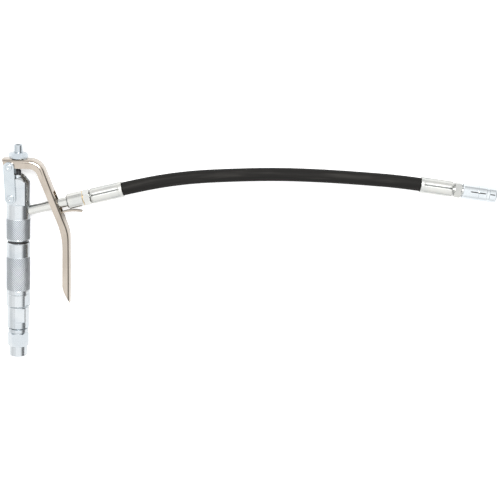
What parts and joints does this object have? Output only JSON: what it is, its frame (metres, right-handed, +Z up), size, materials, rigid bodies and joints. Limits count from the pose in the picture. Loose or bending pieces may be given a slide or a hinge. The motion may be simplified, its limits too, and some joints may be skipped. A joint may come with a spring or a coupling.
{
  "type": "grease gun",
  "caption": "Hand lever grease control valve with a knurled handle, swivel inlet, outlet pipe, short black hose and nipple coupler.",
  "frame": {"origin": "centre of the inlet thread's mouth, on the handle's axis", "axes": "+Y along the handle towards the valve and the adjusting screw, +X towards the lever and the hose, +Z up out of the surface that the gun lies on"},
  "size_m": [0.5137, 0.2274, 0.0255],
  "materials": {
    "zinc_body": "bright zinc plate on turned and knurled steel, satin",
    "zinc_fittings": "bright zinc plate, turned",
    "zinc_ferrule": "whitish zinc plate, pressed",
    "zinc_hardware": "bright zinc plate, tumbled",
    "nickel_lever": "nickel plate on pressed sheet steel, semi bright, slightly warm",
    "chrome_coupler": "bright plate, turned",
    "hardened_steel": "hardened steel, ground",
    "spring_steel": "drawn wire and stainless mesh",
    "black_steel": "black oxide",
    "brass_washer": "turned brass",
    "black_seal": "moulded rubber",
    "hose_rubber": "matt rubber cover with the faint weave of a cloth wrap"
  },
  "bodies": {
    "control_body": {"handle": "zinc_body", "handle_seal": "black_seal", "valve_body": "zinc_body", "valve_seat": "hardened_steel", "gland_packing": "black_seal", "gland_washer": "brass_washer", "gland_nut": "zinc_body", "body_pin": "zinc_hardware", "outlet_pipe": "zinc_fittings", "outlet_coupling": "zinc_fittings", "coupling_washer": "brass_washer", "hose_fitting_gun": "zinc_fittings", "hose_ferrule_gun": "zinc_ferrule", "hose": "hose_rubber", "hose_ferrule_tip": "zinc_ferrule", "hose_fitting_tip": "zinc_fittings", "coupler_body": "chrome_coupler", "coupler_sleeve": "chrome_coupler", "swivel_body": "zinc_body", "swivel_seal": "black_seal", "swivel_balls": "hardened_steel", "valve_spring": "spring_steel", "coupler_spring": "spring_steel"},
    "inlet": {"inlet_nut": "zinc_body", "inlet_strainer": "spring_steel", "strainer_ring": "spring_steel"},
    "link": {"link_plate_front": "zinc_hardware", "link_plate_back": "zinc_hardware", "lever_pin": "zinc_hardware"},
    "lever": {"lever": "nickel_lever", "adjusting_screw": "zinc_hardware", "lock_nut": "zinc_hardware"},
    "rod": {"push_rod": "black_steel"},
    "ball": {"valve_ball": "hardened_steel", "ball_carrier": "hardened_steel"},
    "coupler_piston": {"coupler_piston": "hardened_steel", "coupler_seal": "black_seal"},
    "jaw_1": {"coupler_jaw_1": "hardened_steel"},
    "jaw_2": {"coupler_jaw_2": "hardened_steel"},
    "jaw_3": {"coupler_jaw_3": "hardened_steel"},
    "jaw_4": {"coupler_jaw_4": "hardened_steel"}
  },
  "joints": [
    {"name": "inlet_swivel", "type": "hinge", "parent": "control_body", "child": "inlet", "pos_m": [0, 0, 0], "axis": [0, 1, 0], "continuous": true},
    {"name": "link_swing", "type": "hinge", "parent": "control_body", "child": "link", "pos_m": [-0.0064, 0.1715, 0], "axis": [0, 0, 1], "range_deg": [-1.7, 0]},
    {"name": "lever_squeeze", "type": "hinge", "parent": "link", "child": "lever", "pos_m": [-0.0083, 0.2044, 0], "axis": [0, 0, 1], "range_deg": [-11.3, 0], "stiffness_Nm_per_rad": 0.8, "springref_deg": 2.86},
    {"name": "rod_push", "type": "slide", "parent": "control_body", "child": "rod", "axis": [0, -1, 0], "range_m": [0, 0.0019]},
    {"name": "ball_lift", "type": "slide", "parent": "control_body", "child": "ball", "axis": [0, -1, 0], "range_m": [0, 0.0019], "deforming": ["valve_spring"]},
    {"name": "jaw_1_slide", "type": "slide", "parent": "control_body", "child": "jaw_1", "axis": [-0.9579, -0.1471, -0.2464], "range_m": [0, 0.0016], "stiffness_N_per_m": 300, "springref_m": -0.001},
    {"name": "jaw_2_slide", "type": "slide", "parent": "control_body", "child": "jaw_2", "axis": [-0.9064, 0.343, -0.2464], "range_m": [0, 0.0016]},
    {"name": "jaw_3_slide", "type": "slide", "parent": "control_body", "child": "jaw_3", "axis": [-0.9064, 0.343, 0.2464], "range_m": [0, 0.0016]},
    {"name": "jaw_4_slide", "type": "slide", "parent": "control_body", "child": "jaw_4", "axis": [-0.9579, -0.1471, 0.2464], "range_m": [0, 0.0016]},
    {"name": "coupler_piston_slide", "type": "slide", "parent": "control_body", "child": "coupler_piston", "axis": [-0.9945, 0.1045, 0], "range_m": [0, 0.0016], "deforming": ["coupler_spring"]}
  ],
  "couplings": [
    {"joint": "link_swing", "follows": "lever_squeeze", "ratio": 0.147},
    {"joint": "rod_push", "follows": "lever_squeeze", "m_per_rad": -0.009431},
    {"joint": "ball_lift", "follows": "lever_squeeze", "m_per_rad": -0.009431},
    {"joint": "jaw_2_slide", "follows": "jaw_1_slide", "ratio": 1},
    {"joint": "jaw_3_slide", "follows": "jaw_1_slide", "ratio": 1},
    {"joint": "jaw_4_slide", "follows": "jaw_1_slide", "ratio": 1},
    {"joint": "coupler_piston_slide", "follows": "jaw_1_slide", "ratio": 0.93731}
  ]
}
